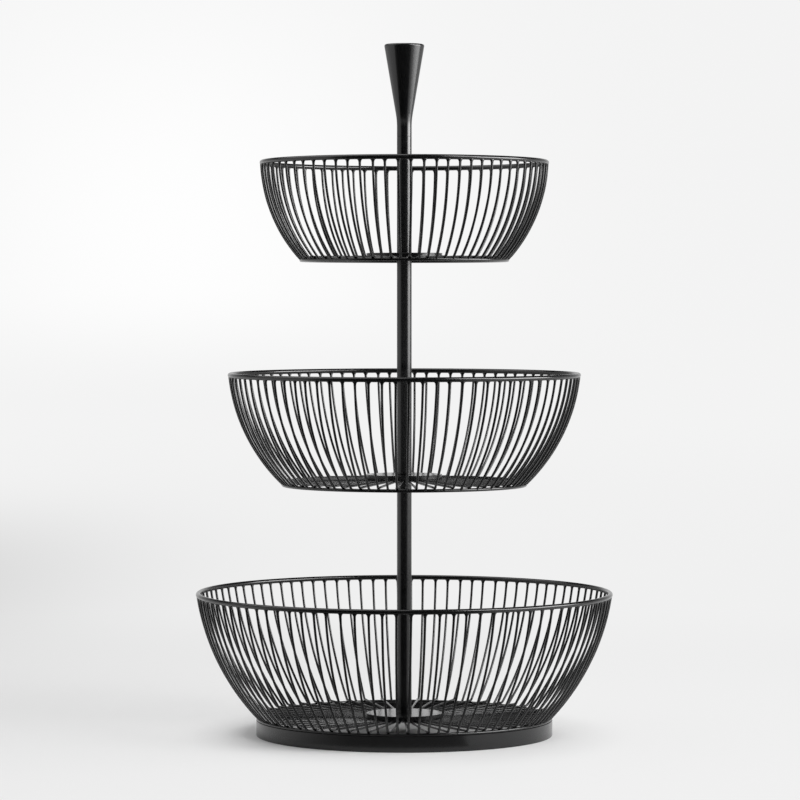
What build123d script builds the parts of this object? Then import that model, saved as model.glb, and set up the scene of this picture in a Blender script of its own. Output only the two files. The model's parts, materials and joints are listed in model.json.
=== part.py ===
from build123d import *
import math
import os

# A three-tier wire basket on a centre post, in millimetres.
# The origin is on the floor under the post, and Z points up.

full_turn = 360

# Wire and sheet, each with its coat of paint
rib_wire = 2.1
rim_wire = 4.2
ring_wire = 3.0
plate_thick = 3.6
weld_bite = 0.2         # how far two welded pieces sink into each other
rib_set_in = 0.3        # the ribs' outer side, inside the rim's outer side

# Bends of the long ribs
bend_radius = 4.0       # where a long rib turns from the wall into the floor
spoke_bend = 30.0       # where a sloping spoke levels out under the hub plate
spoke_gap = 0.5         # between the inner ends of two spokes

# Bottom basket: radii and heights run to the centre of the wire
bottom_rim_radius = 177.6
bottom_ring_radius = 126.2
bottom_wall_height = 107.2
bottom_wall_arc = 195.0
bottom_foot_inset = 0.4     # the ribs land this far inside the floor ring's centre
bottom_hub_lift = -2.5      # the floor dips towards the hub
bottom_rib_pairs = 48
bottom_rib_angle = 1.55

# Middle basket
middle_rim_radius = 150.0
middle_ring_radius = 104.4
middle_wall_height = 94.5
middle_wall_arc = 151.0
middle_hub_lift = 2.1       # the floor rises towards the hub
middle_rib_pairs = 42
middle_rib_angle = 0.9

# Top basket
top_rim_radius = 122.4
top_ring_radius = 88.8
top_wall_height = 83.9
top_wall_arc = 130.5
top_hub_lift = -0.6
top_rib_pairs = 36
top_rib_angle = 1.85

# Foot band under the bottom basket
band_radius = 127.8
band_thick = 2.0
band_height = 13.2
band_edge = 0.4

# Hub plates
plate_size = 65.4
plate_edge = 0.4
stud_hole = 6.6

# Posts: three tubes with a threaded insert in each end
post_size = 12.7
post_wall = 1.2
post_edge = 0.3
lower_post_length = 202.6
middle_post_length = 187.0
upper_post_length = 100.4
insert_length = 15.0
insert_edge = 0.5
slip = 0.05             # radial play of an insert in its tube, and of a thread in its bore

# Threads
thread_size = 6.0
thread_pitch = 1.0
thread_depth = 0.6
stud_reach = 13.0
stud_socket = 3.0
stud_socket_depth = 3.0

# Foot screw and its washer
screw_reach = 12.0
screw_head_size = 10.5
screw_head_height = 3.3
screw_flat_size = 5.6
screw_socket = 4.0
screw_socket_depth = 2.0
washer_size = 18.0
washer_thick = 1.6

# Finial
finial_top_size = 35.0
finial_neck_size = 12.7
finial_shank_length = 13.5
finial_cone_length = 65.5
finial_blend = 60.0
finial_edge = 1.6
finial_bore_spare = 2.0

# Derived sizes
post_bore = post_size - 2 * post_wall
insert_size = post_bore - 2 * slip
thread_bore = thread_size + 2 * slip
plate_radius = plate_size / 2
stack = (ring_wire + rib_wire) / 2 - weld_bite      # floor ring centre to spoke centre
plate_seat = rib_wire / 2 - weld_bite               # spoke centre to the plate's underside

# Heights
bottom_ring_z = band_height - weld_bite + ring_wire / 2
bottom_plate_z = bottom_ring_z + stack + bottom_hub_lift + plate_seat
lower_post_z = bottom_plate_z + plate_thick
middle_plate_z = lower_post_z + lower_post_length
middle_ring_z = middle_plate_z - plate_seat - middle_hub_lift - stack
middle_post_z = middle_plate_z + plate_thick
top_plate_z = middle_post_z + middle_post_length
top_ring_z = top_plate_z - plate_seat - top_hub_lift - stack
upper_post_z = top_plate_z + plate_thick
finial_z = upper_post_z + upper_post_length

os.makedirs("parts", exist_ok=True)


def save(piece, label):
    piece.part.label = label
    export_step(piece.part, f"parts/{label}.step")


# Rings and bands

def wire_ring(radius, wire, z):
    with BuildPart() as ring:
        with Locations((0, 0, z)):
            Torus(radius, wire / 2)
    return ring


def foot_band(floor_ring):
    with BuildPart() as band:
        with BuildSketch():
            Circle(band_radius)
            Circle(band_radius - band_thick, mode=Mode.SUBTRACT)
        extrude(amount=band_height)
        fillet(band.edges().group_by(Axis.Z)[0], radius=band_edge)
        add(floor_ring.part, mode=Mode.SUBTRACT)
    return band


def hub_plate(z):
    with BuildPart() as plate:
        with BuildSketch(Plane.XY.offset(z)):
            Circle(plate_radius)
            Circle(stud_hole / 2, mode=Mode.SUBTRACT)
        extrude(amount=plate_thick)
        fillet(plate.edges().filter_by(GeomType.CIRCLE).group_by(SortBy.RADIUS)[-1], radius=plate_edge)
    return plate


# Ribs: one is bent and coped to what it is welded to, then copied round the post

def short_rib(rim_point, foot_point, wall_arc, rim, floor_ring):
    with BuildPart() as rib:
        with BuildLine(Plane.XZ) as path:
            RadiusArc(rim_point, foot_point, wall_arc)
        with BuildSketch(Plane(origin=path.line @ 0, z_dir=path.line % 0)):
            Circle(rib_wire / 2)
        sweep(path=path.line)
        add(rim.part, mode=Mode.SUBTRACT)
        add(floor_ring.part, mode=Mode.SUBTRACT)
    return rib


def long_rib(rim_point, foot_point, wall_arc, hub_lift, pairs, rim, floor_ring, plate):
    spoke_z = foot_point[1] + stack
    hub_z = spoke_z + hub_lift
    spoke_end = pairs * (rib_wire + spoke_gap) / (2 * math.pi)
    with BuildLine(Plane.XZ) as wall:
        RadiusArc(rim_point, foot_point, wall_arc)
    centre = wall.edge().arc_center
    bend_r = centre.X + math.sqrt(wall_arc ** 2 - (spoke_z - centre.Z) ** 2)
    with BuildPart() as rib:
        with BuildLine(Plane.XZ) as path:
            RadiusArc(rim_point, (bend_r, spoke_z), wall_arc)
            if hub_lift:
                Polyline((bend_r, spoke_z), (plate_radius, hub_z), (spoke_end, hub_z))
                fillet(path.vertices().sort_by(Axis.X)[1], radius=spoke_bend)
            else:
                Line((bend_r, spoke_z), (spoke_end, hub_z))
            fillet(path.vertices().sort_by(Axis.X)[-2], radius=bend_radius)
        with BuildSketch(Plane(origin=path.line @ 0, z_dir=path.line % 0)):
            Circle(rib_wire / 2)
        sweep(path=path.line)
        add(rim.part, mode=Mode.SUBTRACT)
        add(floor_ring.part, mode=Mode.SUBTRACT)
        add(plate.part, mode=Mode.SUBTRACT)
    return rib


def round_the_post(rib, pairs, start_angle):
    with BuildPart() as ribs:
        with PolarLocations(0, pairs, start_angle=start_angle):
            add(rib.part)
    return ribs


def basket(tier, rim_radius, ring_radius, ring_z, wall_height, wall_arc, foot_inset, hub_lift,
           plate_z, pairs, rib_angle):
    rim_z = ring_z + wall_height
    rim = wire_ring(rim_radius, rim_wire, rim_z)
    floor_ring = wire_ring(ring_radius, ring_wire, ring_z)
    plate = hub_plate(plate_z)

    rim_point = (rim_radius + (rim_wire - rib_wire) / 2 - rib_set_in, rim_z)
    foot_point = (ring_radius - foot_inset, ring_z)
    half_pitch = full_turn / pairs / 2
    long_one = long_rib(rim_point, foot_point, wall_arc, hub_lift, pairs, rim, floor_ring, plate)
    short_one = short_rib(rim_point, foot_point, wall_arc, rim, floor_ring)

    save(rim, f"{tier}_rim")
    save(floor_ring, f"{tier}_floor_ring")
    save(plate, f"{tier}_hub_plate")
    save(round_the_post(long_one, pairs, rib_angle), f"{tier}_long_ribs")
    save(round_the_post(short_one, pairs, rib_angle + half_pitch), f"{tier}_short_ribs")
    return floor_ring


bottom_ring = basket(
    "bottom", bottom_rim_radius, bottom_ring_radius, bottom_ring_z, bottom_wall_height,
    bottom_wall_arc, bottom_foot_inset, bottom_hub_lift, bottom_plate_z,
    bottom_rib_pairs, bottom_rib_angle)
basket(
    "middle", middle_rim_radius, middle_ring_radius, middle_ring_z, middle_wall_height,
    middle_wall_arc, 0, middle_hub_lift, middle_plate_z,
    middle_rib_pairs, middle_rib_angle)
basket(
    "top", top_rim_radius, top_ring_radius, top_ring_z, top_wall_height,
    top_wall_arc, 0, top_hub_lift, top_plate_z,
    top_rib_pairs, top_rib_angle)
save(foot_band(bottom_ring), "foot_band")


# Posts and their inserts

def insert(z):
    with BuildPart() as bush:
        with BuildSketch(Plane.XY.offset(z)):
            Circle(insert_size / 2)
            Circle(thread_bore / 2, mode=Mode.SUBTRACT)
        extrude(amount=insert_length)
        chamfer(bush.edges().filter_by(GeomType.CIRCLE).group_by(SortBy.RADIUS)[0], length=insert_edge)
    return bush


def post(tier, z, length):
    with BuildPart() as tube:
        with BuildSketch(Plane.XY.offset(z)):
            Circle(post_size / 2)
            Circle(post_bore / 2, mode=Mode.SUBTRACT)
        extrude(amount=length)
        chamfer(tube.edges().filter_by(GeomType.CIRCLE).group_by(SortBy.RADIUS)[-1], length=post_edge)
    save(tube, f"{tier}_post")
    save(insert(z), f"{tier}_post_lower_insert")
    save(insert(z + length - insert_length), f"{tier}_post_upper_insert")


post("lower", lower_post_z, lower_post_length)
post("middle", middle_post_z, middle_post_length)
post("upper", upper_post_z, upper_post_length)


# Threaded pieces: ridges stand for the thread

def thread_profile(z, length):
    crest = thread_size / 2
    root = crest - thread_depth
    turns = int(length / thread_pitch)
    step = length / turns
    points = [(0, z), (root, z)]
    for turn in range(turns):
        points.append((crest, z + (turn + 1 / 2) * step))
        points.append((root, z + (turn + 1) * step))
    points.append((0, z + length))
    return points


def stud(z, length):
    with BuildPart() as rod:
        with BuildSketch(Plane.XZ):
            with BuildLine():
                Polyline(*thread_profile(z, length), close=True)
            make_face()
        revolve(axis=Axis.Z)
        with BuildSketch(Plane.XY.offset(z + length)):
            RegularPolygon(stud_socket / 2, 6, major_radius=False)
        extrude(amount=-stud_socket_depth, mode=Mode.SUBTRACT)
    return rod


plate_stud_length = plate_thick + 2 * stud_reach
save(stud(middle_plate_z - stud_reach, plate_stud_length), "middle_stud")
save(stud(top_plate_z - stud_reach, plate_stud_length), "top_stud")
save(stud(finial_z - stud_reach, 2 * stud_reach), "finial_stud")

with BuildPart() as foot_washer:
    with BuildSketch(Plane.XY.offset(bottom_plate_z - washer_thick)):
        Circle(washer_size / 2)
        Circle(stud_hole / 2, mode=Mode.SUBTRACT)
    extrude(amount=washer_thick)
save(foot_washer, "foot_washer")

with BuildPart() as foot_screw:
    head_z = bottom_plate_z - washer_thick
    head_low = head_z - screw_head_height
    with BuildSketch(Plane.XZ):
        with BuildLine():
            Polyline(*thread_profile(head_z, lower_post_z + screw_reach - head_z), close=True)
        make_face()
        with BuildLine():
            dome = TangentArc(
                (screw_head_size / 2, head_z), (screw_flat_size / 2, head_low), tangent=(0, -1))
            Polyline(dome @ 1, (0, head_low), (0, head_z), dome @ 0)
        make_face()
    revolve(axis=Axis.Z)
    with BuildSketch(Plane.XY.offset(head_low)):
        RegularPolygon(screw_socket / 2, 6, major_radius=False)
    extrude(amount=screw_socket_depth, mode=Mode.SUBTRACT)
save(foot_screw, "foot_screw")


# Finial: a turned cone on a short shank, with a blind threaded bore

with BuildPart() as finial:
    shank_z = finial_z + finial_shank_length
    top_z = shank_z + finial_cone_length
    foot = (finial_neck_size / 2, finial_z)
    neck = (finial_neck_size / 2, shank_z)
    crown = (finial_top_size / 2, top_z)
    with BuildSketch(Plane.XZ):
        with BuildLine() as outline:
            Polyline((0, finial_z), foot, neck, crown, (0, top_z), close=True)
            fillet(outline.vertices().sort_by(Axis.Y)[2], radius=finial_blend)
            fillet(outline.vertices().sort_by(Axis.X)[-1], radius=finial_edge)
        make_face()
    revolve(axis=Axis.Z)
    with BuildSketch(Plane.XY.offset(finial_z)):
        Circle(thread_bore / 2)
    extrude(amount=stud_reach + finial_bore_spare, mode=Mode.SUBTRACT)
save(finial, "finial")
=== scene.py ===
import bpy
import json
import math
from mathutils import Matrix, Vector


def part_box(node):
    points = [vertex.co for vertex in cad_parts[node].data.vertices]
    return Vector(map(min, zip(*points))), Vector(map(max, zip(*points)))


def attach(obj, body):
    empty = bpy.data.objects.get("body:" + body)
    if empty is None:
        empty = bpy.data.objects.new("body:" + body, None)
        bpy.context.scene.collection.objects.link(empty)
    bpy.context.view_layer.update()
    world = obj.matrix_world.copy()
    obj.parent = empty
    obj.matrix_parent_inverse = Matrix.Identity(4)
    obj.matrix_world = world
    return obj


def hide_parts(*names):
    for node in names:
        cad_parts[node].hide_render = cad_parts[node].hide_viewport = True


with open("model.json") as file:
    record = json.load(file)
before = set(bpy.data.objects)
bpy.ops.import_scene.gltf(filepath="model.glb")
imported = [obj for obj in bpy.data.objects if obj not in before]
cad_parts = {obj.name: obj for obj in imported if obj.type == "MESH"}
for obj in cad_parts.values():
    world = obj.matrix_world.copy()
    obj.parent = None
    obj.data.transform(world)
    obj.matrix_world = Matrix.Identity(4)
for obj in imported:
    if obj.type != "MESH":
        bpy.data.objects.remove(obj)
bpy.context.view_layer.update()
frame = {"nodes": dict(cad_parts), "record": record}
scene = bpy.context.scene
print("frame loaded:", len(frame["nodes"]), "nodes")


# Node trees

class Field:
    # one output of a node tree; sums written on it become Math nodes
    def __init__(self, tree, output=None):
        self.tree = tree
        self.output = output

    def node(self, kind, settings=None, values=None, out=0):
        made = self.tree.nodes.new(kind)
        for name, value in (settings or {}).items():
            if name == "stops":
                for stop, (place, colour) in zip(made.color_ramp.elements, value):
                    stop.position = place
                    stop.color = colour
            else:
                setattr(made, name, value)
        for key, value in (values or {}).items():
            for one in value if isinstance(value, list) else [value]:
                if isinstance(one, Field):
                    self.tree.links.new(one.output, made.inputs[key])
                else:
                    made.inputs[key].default_value = one
        return Field(self.tree, made.outputs[out])

    def maths(self, operation, *terms):
        return self.node("ShaderNodeMath", {"operation": operation}, dict(enumerate(terms)))

    def __add__(self, other):
        return self.maths("ADD", self, other)

    def __radd__(self, other):
        return self.maths("ADD", other, self)

    def __sub__(self, other):
        return self.maths("SUBTRACT", self, other)

    def __rsub__(self, other):
        return self.maths("SUBTRACT", other, self)

    def __mul__(self, other):
        return self.maths("MULTIPLY", self, other)

    def __rmul__(self, other):
        return self.maths("MULTIPLY", other, self)

    def __truediv__(self, other):
        return self.maths("DIVIDE", self, other)

    def bell(self, width):
        # 1 at zero, falling away smoothly over the width
        ratio = self / width
        return self.maths("EXPONENT", ratio * ratio * -1.0)

    def axes(self):
        split = self.node("ShaderNodeSeparateXYZ", values={0: self})
        outputs = split.output.node.outputs
        return [Field(self.tree, outputs[i]) for i in range(3)]


# Materials

def paintTree(name):
    material = bpy.data.materials.new(name)
    material.use_nodes = True
    tree = material.node_tree
    tree.nodes.clear()
    return material, Field(tree)


def finishPaint(graph, shader):
    end = graph.tree.nodes.new("ShaderNodeOutputMaterial")
    graph.tree.links.new(shader.output, end.inputs["Surface"])


def mixColours(graph, factor, first, second):
    return graph.node(
        "ShaderNodeMix", {"data_type": "RGBA"},
        {0: factor, 6: first, 7: second}, out=2)


coat = {
    "dark": (0.0020, 0.0021, 0.0023, 1),
    "light": (0.0038, 0.0039, 0.0042, 1),
    "ior": 1.55,
    "roughness": 0.21,
    "patchSpread": 0.06,        # how much the roughness changes from patch to patch
    "flowSpread": 0.06,         # and along the waves of the flowed coat
    "patches": 38.0,            # per metre, as are the next two
    "flow": 210.0,
    "grain": 900.0,
    "grainShare": 0.4,          # of the colour's shades, and the rest follows the patches
    "grainRelief": 0.6,         # of the powder's grain, where the flow has 1
    "relief": 0.00004,
    "reliefStrength": 0.55,
}


def blackCoat():
    material, graph = paintTree("blackCoat")
    place = graph.node("ShaderNodeTexCoord", out=3)
    grain = graph.node("ShaderNodeTexNoise", values={
        "Vector": place, "Scale": coat["grain"], "Detail": 2.0, "Roughness": 0.55})
    flow = graph.node("ShaderNodeTexNoise", values={
        "Vector": place, "Scale": coat["flow"], "Detail": 3.0, "Roughness": 0.5})
    patches = graph.node("ShaderNodeTexNoise", values={
        "Vector": place, "Scale": coat["patches"], "Detail": 4.0, "Roughness": 0.6})
    shade = patches * (1 - coat["grainShare"]) + grain * coat["grainShare"]
    colour = mixColours(graph, shade, coat["dark"], coat["light"])
    roughness = coat["roughness"] + (patches - 0.5) * coat["patchSpread"]
    roughness = roughness + (flow - 0.5) * coat["flowSpread"]
    bump = graph.node("ShaderNodeBump", values={
        "Strength": coat["reliefStrength"], "Distance": coat["relief"],
        "Height": grain * coat["grainRelief"] + flow})
    finishPaint(graph, graph.node("ShaderNodeBsdfPrincipled", values={
        "Base Color": colour, "Roughness": roughness, "Normal": bump, "IOR": coat["ior"]}))
    return material


zinc = {
    "crystals": 700.0,          # per metre, as are the clouds and the tool marks' waves
    "clouds": 160.0,
    "turnings": 130.0,
    "waviness": 1.5,
    "turnedShare": 0.6,         # of the relief, and the rest is the crystals'
    "relief": 0.00003,
    "reliefStrength": 0.3,
    "roughnessSpread": 0.15,
}
brightZinc = {"light": (0.60, 0.61, 0.62, 1), "dark": (0.46, 0.47, 0.49, 1), "roughness": 0.32}
blackZinc = {"light": (0.085, 0.086, 0.09, 1), "dark": (0.05, 0.051, 0.055, 1), "roughness": 0.38}


def zincSteel(name, plate):
    material, graph = paintTree(name)
    place = graph.node("ShaderNodeTexCoord", out=3)
    crystals = graph.node("ShaderNodeTexVoronoi", values={"Vector": place, "Scale": zinc["crystals"]})
    cloud = graph.node("ShaderNodeTexNoise", values={
        "Vector": place, "Scale": zinc["clouds"], "Detail": 4.0})
    turned = graph.node("ShaderNodeTexWave", {"bands_direction": "Z"}, {
        "Vector": place, "Scale": zinc["turnings"], "Distortion": zinc["waviness"]}, out=1)
    colour = mixColours(graph, cloud, plate["dark"], plate["light"])
    height = turned * zinc["turnedShare"] + crystals * (1 - zinc["turnedShare"])
    bump = graph.node("ShaderNodeBump", values={
        "Strength": zinc["reliefStrength"], "Distance": zinc["relief"], "Height": height})
    finishPaint(graph, graph.node("ShaderNodeBsdfPrincipled", values={
        "Base Color": colour, "Metallic": 1.0, "Normal": bump,
        "Roughness": plate["roughness"] + (cloud - 0.5) * zinc["roughnessSpread"]}))
    return material


finishes = {
    "black_coat": blackCoat(),
    "zinc_steel": zincSteel("zincSteel", brightZinc),
    "dark_zinc": zincSteel("darkZinc", blackZinc),
}
print("materials made:", len(finishes))


# Making a piece from a tree

def geometryTree(name, inputs):
    tree = bpy.data.node_groups.new(name, "GeometryNodeTree")
    tree.interface.new_socket("Geometry", in_out="INPUT", socket_type="NodeSocketGeometry")
    for label, kind in inputs.items():
        tree.interface.new_socket(label, in_out="INPUT", socket_type="NodeSocket" + kind)
    tree.interface.new_socket("Geometry", in_out="OUTPUT", socket_type="NodeSocketGeometry")
    start = tree.nodes.new("NodeGroupInput")
    return Field(tree), {o.name: Field(tree, o) for o in start.outputs if o.name}


def finishTree(graph, geometry, material):
    loose = graph.node("GeometryNodeRealizeInstances", values={0: geometry})
    smooth = graph.node("GeometryNodeSetShadeSmooth", values={0: loose})
    painted = graph.node("GeometryNodeSetMaterial", values={0: smooth, "Material": material})
    end = graph.tree.nodes.new("NodeGroupOutput")
    graph.tree.links.new(painted.output, end.inputs[0])


def grow(name, graph, settings, finish, points=(), links=()):
    # runs the tree on a line of points and keeps its result as a plain mesh
    line = bpy.data.meshes.new(name + "Line")
    line.from_pydata(list(points), list(links), [])
    maker = bpy.data.objects.new(name + "Maker", line)
    scene.collection.objects.link(maker)
    modifier = maker.modifiers.new(graph.tree.name, "NODES")
    modifier.node_group = graph.tree
    for item in graph.tree.interface.items_tree:
        if item.in_out == "INPUT" and item.name in settings:
            modifier[item.identifier] = settings[item.name]
        if item.name == "Material":
            modifier[item.identifier] = finishes[finish]
    ready = maker.evaluated_get(bpy.context.evaluated_depsgraph_get())
    mesh = bpy.data.meshes.new_from_object(ready)
    maker.modifiers.remove(modifier)
    bpy.data.objects.remove(maker)
    mesh.materials.clear()
    mesh.materials.append(finishes[finish])
    mesh.polygons.foreach_set("material_index", [0] * len(mesh.polygons))
    piece = bpy.data.objects.new(name, mesh)
    scene.collection.objects.link(piece)
    return piece


def settle(piece, finish, *nodes):
    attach(piece, "root")
    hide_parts(*nodes)


# Rims and floor rings: one wire rolled round and butt welded

hoop = {
    "steps": 288,
    "sides": 18,
    "weldSwell": 0.035,         # share by which the weld stands proud
    "weldWidth": 0.0016,
    "weldAngle": {"bottom": 118.0, "middle": 74.0, "top": 97.0},
    "tilt": {"bottom": 0.17, "middle": 0.30, "top": -0.26},     # degrees, a rim's far side up
}


def hoopTree():
    graph, given = geometryTree("wireHoop", {
        "Radius": "Float", "Wire": "Float", "Height": "Float", "Weld angle": "Float",
        "Tilt": "Float", "Material": "Material"})
    circle = graph.node("GeometryNodeCurvePrimitiveCircle", values={
        "Resolution": hoop["steps"], "Radius": given["Radius"]})
    raised = graph.node("GeometryNodeTransform", values={
        0: circle, "Translation": graph.node("ShaderNodeCombineXYZ", values={"Z": given["Height"]}),
        "Rotation": graph.node("ShaderNodeCombineXYZ", values={"X": given["Tilt"]})})
    profile = graph.node("GeometryNodeCurvePrimitiveCircle", values={
        "Resolution": hoop["sides"], "Radius": given["Wire"] / 2})
    x, y = graph.node("GeometryNodeInputPosition").axes()[:2]
    weldX = given["Radius"] * graph.maths("COSINE", given["Weld angle"])
    weldY = given["Radius"] * graph.maths("SINE", given["Weld angle"])
    gap = graph.maths("SQRT", (x - weldX) * (x - weldX) + (y - weldY) * (y - weldY))
    swell = 1 + gap.bell(hoop["weldWidth"]) * hoop["weldSwell"]
    wire = graph.node("GeometryNodeCurveToMesh", values={
        "Curve": raised, "Profile Curve": profile, "Scale": swell})
    finishTree(graph, wire, given["Material"])
    return graph


def ringOf(node):
    low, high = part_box(node)
    wire = high.z - low.z
    return {"radius": high.x - wire / 2, "wire": wire, "z": (low.z + high.z) / 2}


tiers = ("bottom", "middle", "top")
rims = {tier: ringOf(tier + "_rim") for tier in tiers}
floorRings = {tier: ringOf(tier + "_floor_ring") for tier in tiers}
wireHoop = hoopTree()
for tier in tiers:
    for kind, ring in (("Rim", rims[tier]), ("FloorRing", floorRings[tier])):
        piece = grow(tier + kind, wireHoop, {
            "Radius": ring["radius"], "Wire": ring["wire"], "Height": ring["z"],
            "Tilt": math.radians(hoop["tilt"][tier]) if kind == "Rim" else 0.0,
            "Weld angle": math.radians(hoop["weldAngle"][tier])}, "black_coat")
        settle(piece, "black_coat", tier + ("_rim" if kind == "Rim" else "_floor_ring"))
print("rims and floor rings made")


# Ribs

rib = {
    "wire": 0.0021,
    "setIn": 0.0003,            # outer side of the ribs, inside the rim's outer side
    "bite": 0.0002,             # how far two welded wires sink into each other
    "bendRadius": 0.004,
    "spokeGap": 0.0005,
    "sides": 10,
    "wallSteps": 22,
    "bendSteps": 6,
    "spokeSteps": 8,
    "sway": 0.12,               # degrees, uneven spacing round the post
    "lean": 0.30,               # degrees, uneven uprightness
    "wander": 0.00012,          # slight waves along each wire
    "waves": 46.0,              # per metre
    "weldFlare": 1.25,          # how much wider a rib is at its weld
    "weldReach": 0.0009,
    "weldSteps": (0.0016, 0.0021, 0.0025, 0.0030, 0.0036, 0.0045),     # from the ring's centre
}
# start angles in degrees
ribLayout = {
    "bottom": {"pairs": 48, "startAngle": 1.52, "wallArc": 0.195, "footInset": 0.0004},
    "middle": {"pairs": 42, "startAngle": 0.56, "wallArc": 0.151, "footInset": 0.0},
    "top": {"pairs": 36, "startAngle": 1.25, "wallArc": 0.1305, "footInset": 0.0},
}
# slow drift of the spacing round the post, in degrees, over one turn and over half a turn,
# and how far the rim is turned against the floor ring
ribDrift = {
    "bottom": {
        "Sine": 0.09, "Cosine": 0.72, "Double sine": 0.15, "Double cosine": 0.10, "Twist": 0.3},
    "middle": {
        "Sine": -0.42, "Cosine": 0.68, "Double sine": 0.27, "Double cosine": -0.06, "Twist": 0.5},
    "top": {
        "Sine": -0.32, "Cosine": -0.21, "Double sine": 0.12, "Double cosine": -1.34, "Twist": -0.25},
}


def ribTree():
    graph, given = geometryTree("basketRibs", {
        "Wire": "Float", "Count": "Int", "Start angle": "Float", "Foot radius": "Float",
        "Foot height": "Float", "Weld height": "Float", "Rise": "Float", "Seed": "Int",
        "Sine": "Float", "Cosine": "Float", "Double sine": "Float", "Double cosine": "Float",
        "Twist": "Float", "Tilt": "Float", "Material": "Material"})
    path = graph.node("GeometryNodeMeshToCurve", values={0: given["Geometry"]})
    profile = graph.node("GeometryNodeCurvePrimitiveCircle", values={
        "Resolution": rib["sides"], "Radius": given["Wire"] / 2})
    wire = graph.node("GeometryNodeCurveToMesh", values={
        "Curve": path, "Profile Curve": profile, "Fill Caps": True})
    x, y, z = graph.node("GeometryNodeInputPosition").axes()
    belowRim = graph.maths("MAXIMUM", given["Weld height"] - z, 0.0)
    rimFlare = graph.maths("EXPONENT", belowRim / rib["weldReach"] * -1.0)
    footFlare = (x - given["Foot radius"]).bell(rib["weldReach"]) * (
        z - given["Foot height"]).bell(rib["weldReach"])
    climbed = graph.maths("MAXIMUM", (z - given["Foot height"]) / given["Rise"], 0.0)
    flare = graph.node("ShaderNodeCombineXYZ", values={
        "X": x, "Z": z,
        "Y": y * (1 + (rimFlare + footFlare) * rib["weldFlare"]) + x * climbed * given["Twist"]})
    welded = graph.node("GeometryNodeSetPosition", values={0: wire, "Position": flare})
    spots = graph.node("GeometryNodePoints", values={"Count": given["Count"]})
    number = graph.node("GeometryNodeInputIndex")
    turn = number / given["Count"] * (2 * math.pi) + given["Start angle"]
    drift = (given["Sine"] * graph.maths("SINE", turn)
             + given["Cosine"] * graph.maths("COSINE", turn)
             + given["Double sine"] * graph.maths("SINE", turn * 2)
             + given["Double cosine"] * graph.maths("COSINE", turn * 2))
    sway = graph.node("FunctionNodeRandomValue", {"data_type": "FLOAT"}, {
        2: -math.radians(rib["sway"]), 3: math.radians(rib["sway"]),
        "ID": number, "Seed": given["Seed"]}, out=1)
    aim = graph.node("ShaderNodeCombineXYZ", values={"Z": turn + drift + sway})
    ribs = graph.node("GeometryNodeInstanceOnPoints", values={
        "Points": spots, "Instance": welded,
        "Rotation": graph.node("FunctionNodeEulerToRotation", values={0: aim})})
    lean = graph.node("FunctionNodeRandomValue", {"data_type": "FLOAT"}, {
        2: -math.radians(rib["lean"]), 3: math.radians(rib["lean"]),
        "ID": number, "Seed": given["Seed"] + 7}, out=1)
    foot = graph.node("ShaderNodeCombineXYZ", values={
        "X": given["Foot radius"], "Z": given["Foot height"]})
    leaning = graph.node("GeometryNodeRotateInstances", values={
        0: ribs, "Pivot Point": foot, "Local Space": True,
        "Rotation": graph.node("FunctionNodeEulerToRotation", values={
            0: graph.node("ShaderNodeCombineXYZ", values={"X": lean})})})
    loose = graph.node("GeometryNodeRealizeInstances", values={0: leaning})
    noise = graph.node("ShaderNodeTexNoise", values={"Scale": rib["waves"], "Detail": 1.0}, out=1)
    centred = graph.node("ShaderNodeVectorMath", {"operation": "SUBTRACT"}, {
        0: noise, 1: (0.5, 0.5, 0.5)})
    wave = graph.node("ShaderNodeVectorMath", {"operation": "SCALE"}, {
        0: centred, "Scale": 2 * rib["wander"]})
    waved = graph.node("GeometryNodeSetPosition", values={0: loose, "Offset": wave})
    y, z = graph.node("GeometryNodeInputPosition").axes()[1:]
    climbed = graph.maths("MAXIMUM", (z - given["Foot height"]) / given["Rise"], 0.0)
    lift = graph.node("ShaderNodeCombineXYZ", values={"Z": y * climbed * given["Tilt"]})
    tilted = graph.node("GeometryNodeSetPosition", values={0: waved, "Offset": lift})
    finishTree(graph, tilted, given["Material"])
    return graph


def wallPoint(centre, arc, z):
    # the point of the wall's arc at a height, as radius and height
    return Vector((centre.x + math.sqrt(arc ** 2 - (z - centre.y) ** 2), z))


def wallCentre(top, foot, arc):
    middle = (top + foot) / 2
    chord = foot - top
    inward = Vector((chord.y, -chord.x)).normalized()
    return middle + inward * math.sqrt(arc ** 2 - (chord.length / 2) ** 2)


def wallPath(top, footZ, centre, arc):
    # close steps near the welds at both ends
    start, end = top.y - rib["weldSteps"][-1], footZ + rib["weldSteps"][-1]
    heights = [top.y] + [top.y - step for step in rib["weldSteps"][:-1]]
    heights += [start + (end - start) * i / rib["wallSteps"] for i in range(rib["wallSteps"] + 1)]
    heights += [footZ + step for step in reversed(rib["weldSteps"][:-1])] + [footZ]
    return [wallPoint(centre, arc, z) for z in heights]


def longPath(top, centre, arc, spokeZ, hubPoint, endRadius):
    # down the wall, round the bend, and in along the floor to the hub
    corner = wallPoint(centre, arc, spokeZ)
    alongFloor = (hubPoint - corner).normalized()
    radial = (corner - centre).normalized()
    alongWall = Vector((-radial.y, radial.x))
    halfTurn = alongFloor.angle(alongWall) / 2
    setback = rib["bendRadius"] / math.tan(halfTurn)
    bendFoot = corner + alongFloor * setback
    bendTop = corner + alongWall * setback
    inner = (alongFloor + alongWall).normalized()
    hinge = corner + inner * rib["bendRadius"] / math.sin(halfTurn)
    path = wallPath(top, bendTop.y, centre, arc)
    first = (bendTop - hinge).angle_signed(bendFoot - hinge)
    for i in range(1, rib["bendSteps"] + 1):
        turned = (bendTop - hinge).copy()
        turned.rotate(Matrix.Rotation(-first * i / rib["bendSteps"], 2))
        path.append(hinge + turned)
    for i in range(1, rib["spokeSteps"] + 1):
        path.append(bendFoot.lerp(hubPoint, i / rib["spokeSteps"]))
    path.append(Vector((endRadius, hubPoint.y)))
    return path


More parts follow.
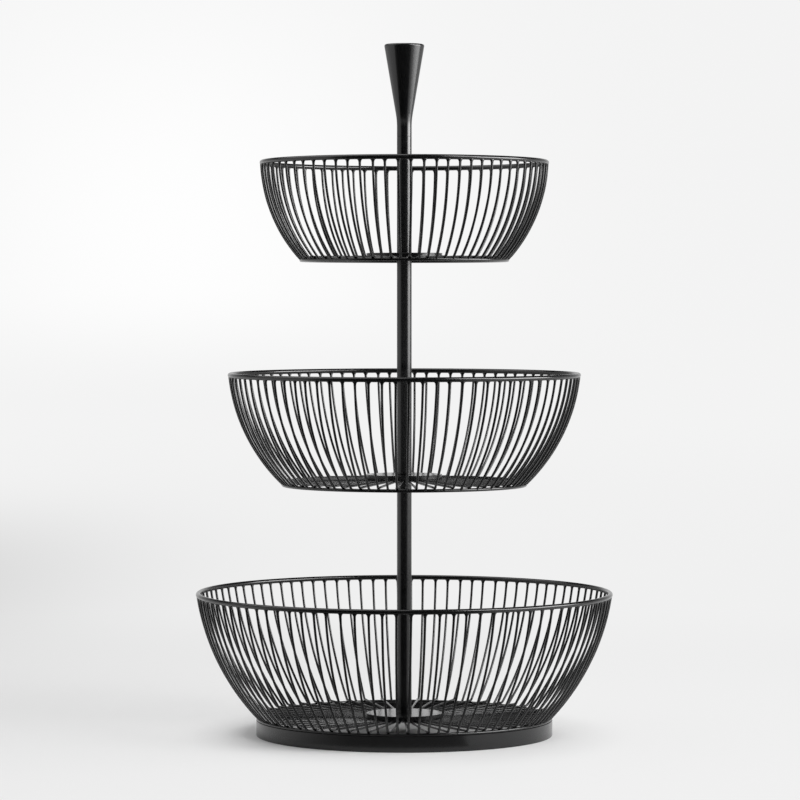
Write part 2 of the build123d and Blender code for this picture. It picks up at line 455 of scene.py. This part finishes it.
basketRibs = ribTree()
for seed, tier in enumerate(tiers):
    layout = ribLayout[tier]
    rim, ring = rims[tier], floorRings[tier]
    plateLow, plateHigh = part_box(tier + "_hub_plate")
    halfWire = rib["wire"] / 2
    top = Vector((rim["radius"] + rim["wire"] / 2 - halfWire - rib["setIn"], rim["z"]))
    foot = Vector((ring["radius"] - layout["footInset"], ring["z"]))
    centre = wallCentre(top, foot, layout["wallArc"])
    spokeZ = ring["z"] + ring["wire"] / 2 + halfWire - rib["bite"]
    hub = Vector((plateHigh.x, plateLow.z - halfWire + rib["bite"]))
    endRadius = layout["pairs"] * (rib["wire"] + rib["spokeGap"]) / (2 * math.pi)
    paths = {
        "Long": longPath(top, centre, layout["wallArc"], spokeZ, hub, endRadius),
        "Short": wallPath(top, foot.y, centre, layout["wallArc"]),
    }
    for kind, path in paths.items():
        start = layout["startAngle"] + (180 / layout["pairs"] if kind == "Short" else 0)
        piece = grow(
            tier + kind + "Ribs", basketRibs, {
                "Wire": rib["wire"], "Count": layout["pairs"], "Start angle": math.radians(start),
                "Foot radius": foot.x, "Foot height": spokeZ if kind == "Long" else ring["z"],
                "Weld height": rim["z"] - rim["wire"] / 2, "Rise": rim["z"] - ring["z"],
                "Seed": 20 * seed + (10 if kind == "Long" else 0),
                "Tilt": math.radians(hoop["tilt"][tier]),
                **{name: math.radians(value) for name, value in ribDrift[tier].items()}},
            "black_coat",
            points=[(p.x, 0, p.y) for p in path],
            links=[(i, i + 1) for i in range(len(path) - 1)])
        settle(piece, "black_coat", tier + "_" + kind.lower() + "_ribs")
print("ribs made")


# CAD nodes that stay

for name, node in frame["nodes"].items():
    if not node.hide_render:
        slot = next(p["material_slot"] for p in frame["record"]["subparts"] if p["node"] == name)
        node.data.materials.clear()
        node.data.materials.append(finishes[slot])
print("kept pieces painted")


# Studio

studio = {
    "floorRadius": 9.0,
    "floorSides": 128,
    "floor": (0.80, 0.80, 0.80, 1),
    "paintedShadeUnderBasket": (0.40, 0.40, 0.40, 1),   # painted shade: the floor's colour is darker inside the foot band, for the shadow under the basket
    "paintedShadeEdge": (0.10, 0.13),
    "pale": (0.897, 0.897, 0.897, 1),       # the backdrop, and the floor far off
    "paleNear": (0.873, 0.873, 0.873, 1),
    "paleReach": (1.5, 8.0),
    "nearGlow": 0.55,                       # share of the near floor that isn't lit by the lamps
    "paintedLightGlow": 0.30,                       # painted light: added to it on the right and in front, a brighter glow where more light falls on the floor
    "openRight": (0.04, 0.16),
    "openFront": (0.16, 0.60),
    "glowEdge": (0.12, 0.20),               # where the near glow starts, outside the foot band
    "frontShare": 0.8,                      # of a length to the front or back that counts for it
    "farGlow": (0.35, 1.3),                 # where the floor turns into backdrop
    "paintedShadow": (0.66, 0.66, 0.66, 1),           # painted shadow: a soft darker patch of the floor's glow, far left, where the baskets' shadow falls
    "paintedShadowPlace": (-0.75, 1.3),
    "paintedShadowSize": (0.35, 1.6),
}
# painted reflection: a dark card in front, seen only in reflections, whose glow sets what the coat
# mirrors of the floor there
flag = {
    "radii": (0.142, 4.0),
    "near": (-165.0, -62.0),                # its sides, as angles at the near and the far edge
    "far": (-150.0, -48.0),
    "steps": 24,
    "height": 0.002,
    "grey": (0.19, 0.19, 0.19, 1),          # painted reflection: its glow at its near edge
    "side": (0.60, 0.60, 0.60, 1),          # painted reflection: a paler glow at the left end of its near edge
    "sideSlope": (0.30, 2.0),               # sideways against forwards
    "black": (0, 0, 0, 1),                  # further out
    "reach": (0.22, 0.45),
}
# place, the point faced, size, the glow of the face, where 1 looks white, and the spread in degrees
lamps = {
    "rightSoftbox": {
        "place": (1.7, -0.27, 0.875), "aim": (0, 0, 0.875), "size": (1.5, 0.77),
        "glow": 13.2, "spread": 110.0},
    "rightFill": {
        "place": (1.7, -0.27, 0.345), "aim": (0, 0, 0.345), "size": (1.5, 0.29),
        "glow": 5.2, "spread": 110.0},
    "key": {
        "place": (3.0, -2.4, 3.0), "aim": (0, 0, 0.1), "size": (2.0, 2.0),
        "glow": 10.0, "spread": 180.0},
    "ceiling": {
        "place": (-1.2, 0.2, 2.4), "aim": (-0.4, 0.1, 0), "size": (3.0, 3.0),
        "glow": 1.7, "spread": 180.0},
}


def seenRays(graph):
    # 1 for what the camera, a mirror or a glass sees
    paths = graph.node("ShaderNodeLightPath")
    outputs = paths.output.node.outputs
    seen = [Field(graph.tree, outputs[name]) for name in
            ("Is Camera Ray", "Is Glossy Ray", "Is Transmission Ray")]
    return seen[0], graph.maths("MAXIMUM", seen[1], seen[2])


def ramp(graph, value, ends):
    # 0 below the first end, 1 above the second, smooth between
    return graph.node("ShaderNodeMapRange", {"interpolation_type": "SMOOTHSTEP"}, {
        "Value": value, "From Min": ends[0], "From Max": ends[1]})


def floorMaterial():
    material, graph = paintTree("paleFloor")
    x, y = graph.node("ShaderNodeTexCoord", out=3).axes()[:2]
    camera, mirror = seenRays(graph)
    away = graph.maths("SQRT", x * x + y * y)
    aside = graph.maths("SQRT", x * x + y * y * studio["frontShare"] ** 2)
    # painted light: the floor glows more on the right and in front, where more light falls on it
    clear = graph.maths(
        "MAXIMUM", ramp(graph, x, studio["openRight"]), ramp(graph, y * -1.0, studio["openFront"]))
    share = clear * studio["paintedLightGlow"] + studio["nearGlow"]
    glow = ramp(graph, aside, studio["glowEdge"]) * share
    glow = glow + ramp(graph, away, studio["farGlow"]) * (1 - share)
    pale = mixColours(
        graph, ramp(graph, away, studio["paleReach"]), studio["paleNear"], studio["pale"])
    # painted shade: the floor is darker inside the foot band, for the shadow under the basket
    ground = mixColours(
        graph, ramp(graph, away, studio["paintedShadeEdge"]), studio["paintedShadeUnderBasket"], studio["floor"])
    lit = graph.node("ShaderNodeBsdfDiffuse", values={"Color": ground})
    # painted shadow: a soft darker patch far left, mixed into the floor's glow
    paintedShadowAcross = (x - studio["paintedShadowPlace"][0]).bell(studio["paintedShadowSize"][0])
    paintedShadow = paintedShadowAcross * (y - studio["paintedShadowPlace"][1]).bell(studio["paintedShadowSize"][1])
    far = graph.node("ShaderNodeEmission", values={
        "Color": mixColours(graph, paintedShadow, pale, studio["paintedShadow"]), "Strength": 1.0})
    factor = glow * graph.maths("MAXIMUM", camera, mirror)
    finishPaint(graph, graph.node("ShaderNodeMixShader", values={0: factor, 1: lit, 2: far}))
    return material


def flagMaterial():
    material, graph = paintTree("darkFlag")
    x, y = graph.node("ShaderNodeTexCoord", out=3).axes()[:2]
    away = graph.maths("SQRT", x * x + y * y)
    # painted reflection: the card's glow, grey near the object, paler at its left end and black
    # further out
    near = mixColours(graph, ramp(graph, x / y, flag["sideSlope"]), flag["grey"], flag["side"])
    shade = mixColours(graph, ramp(graph, away, flag["reach"]), near, flag["black"])
    finishPaint(graph, graph.node("ShaderNodeEmission", values={"Color": shade, "Strength": 1.0}))
    return material


def stageSheet(name, points, material):
    mesh = bpy.data.meshes.new(name)
    mesh.from_pydata(points, [], [tuple(range(len(points)))])
    mesh.materials.append(material)
    sheet = bpy.data.objects.new(name, mesh)
    scene.collection.objects.link(sheet)
    return sheet


def floorPoint(i):
    turn = 2 * math.pi * i / studio["floorSides"]
    return (studio["floorRadius"] * math.cos(turn), studio["floorRadius"] * math.sin(turn), 0.0)


def flagArc(radius, sides):
    start, end = (math.radians(side) for side in sides)
    turns = [start + (end - start) * i / flag["steps"] for i in range(flag["steps"] + 1)]
    return [(radius * math.cos(turn), radius * math.sin(turn), flag["height"]) for turn in turns]


def flagOutline():
    # a sector of a ring, just above the floor
    return flagArc(flag["radii"][0], flag["near"]) + flagArc(flag["radii"][1], flag["far"])[::-1]


def lamp(name, place, aim, size, glow, spread):
    # a grid in front of the lamp narrows its spread
    half = math.radians(spread) / 2
    share = math.sin(half) ** 2 - (half - math.sin(half) * math.cos(half)) / math.tan(half)
    data = bpy.data.lights.new(name, "AREA")
    data.shape = "RECTANGLE"
    data.size, data.size_y = size
    data.spread = 2 * half
    data.energy = glow * math.pi * size[0] * size[1] * share
    made = bpy.data.objects.new(name, data)
    made.location = place
    made.rotation_euler = (Vector(aim) - Vector(place)).to_track_quat("-Z", "Y").to_euler()
    made.visible_camera = False
    scene.collection.objects.link(made)


stageSheet("floor", [floorPoint(i) for i in range(studio["floorSides"])], floorMaterial())
card = stageSheet("frontFlag", flagOutline(), flagMaterial())
card.visible_camera = False
card.visible_diffuse = False
card.visible_shadow = False
card.visible_transmission = False
for name, given in lamps.items():
    lamp(name, **given)


# directions, as the share along X, Y or Z
air = {
    "paintedLightSpot": (0.99, 0.99, 0.99, 1),       # painted light: a pool of light, the brightest place of the backdrop
    "hotPlace": (-0.061, 0.019),            # across and up
    "hotSize": 0.075,
    "hotFoot": (-0.031, 0.004),             # it fades out downwards here
    "hotBehind": (0.0, 0.2),
    "overhead": (0.20, 0.45),               # for mirrors it turns dark overhead
    "front": (-0.75, -0.40),                # and in front
    "sideLoss": 0.5,                        # dimmer between the next two
    "sideStart": (0.2, 0.5),
    "sideEnd": (0.85, 0.98),
}


def studioAir():
    # the backdrop: pale round the horizon, dark overhead and, for mirrors, in front
    world = bpy.data.worlds.new("studioAir")
    scene.world = world
    world.use_nodes = True
    tree = world.node_tree
    tree.nodes.clear()
    graph = Field(tree)
    x, y, z = graph.node("ShaderNodeTexCoord", out=0).axes()
    camera, mirror = seenRays(graph)
    # painted light: a bright pool on the backdrop, fading out downwards and in front
    hotX = (x - air["hotPlace"][0]).bell(air["hotSize"])
    hot = hotX * (z - air["hotPlace"][1]).bell(air["hotSize"])
    hot = hot * ramp(graph, z, air["hotFoot"]) * ramp(graph, y, air["hotBehind"])
    colour = mixColours(graph, hot, studio["pale"], air["paintedLightSpot"])
    overhead = ramp(graph, z, air["overhead"])
    beside = ramp(graph, y, air["front"]) - air["sideLoss"] * ramp(graph, y, air["sideStart"])
    around = beside + air["sideLoss"] * ramp(graph, y, air["sideEnd"])
    strength = graph.maths("MAXIMUM", camera, mirror * around * (1 - overhead))
    end = tree.nodes.new("ShaderNodeOutputWorld")
    backdrop = graph.node("ShaderNodeBackground", values={"Color": colour, "Strength": strength})
    tree.links.new(backdrop.output, end.inputs["Surface"])


studioAir()
print("studio built")


# Camera, at the photograph's viewing point

view = {
    "place": (-0.0037, -3.1092, 0.37701),
    "pitch": 1.621,             # degrees below level
    "lens": 162.36,             # millimetres, as the sensor's width
    "sensor": 36.0,
}
cameraData = bpy.data.cameras.new("camera")
cameraData.lens = view["lens"]
cameraData.sensor_width = view["sensor"]
camera = bpy.data.objects.new("camera", cameraData)
camera.location = view["place"]
camera.rotation_euler = (math.radians(90 - view["pitch"]), 0, 0)
scene.collection.objects.link(camera)
scene.camera = camera
scene.view_settings.view_transform = "Standard"

print("camera set")
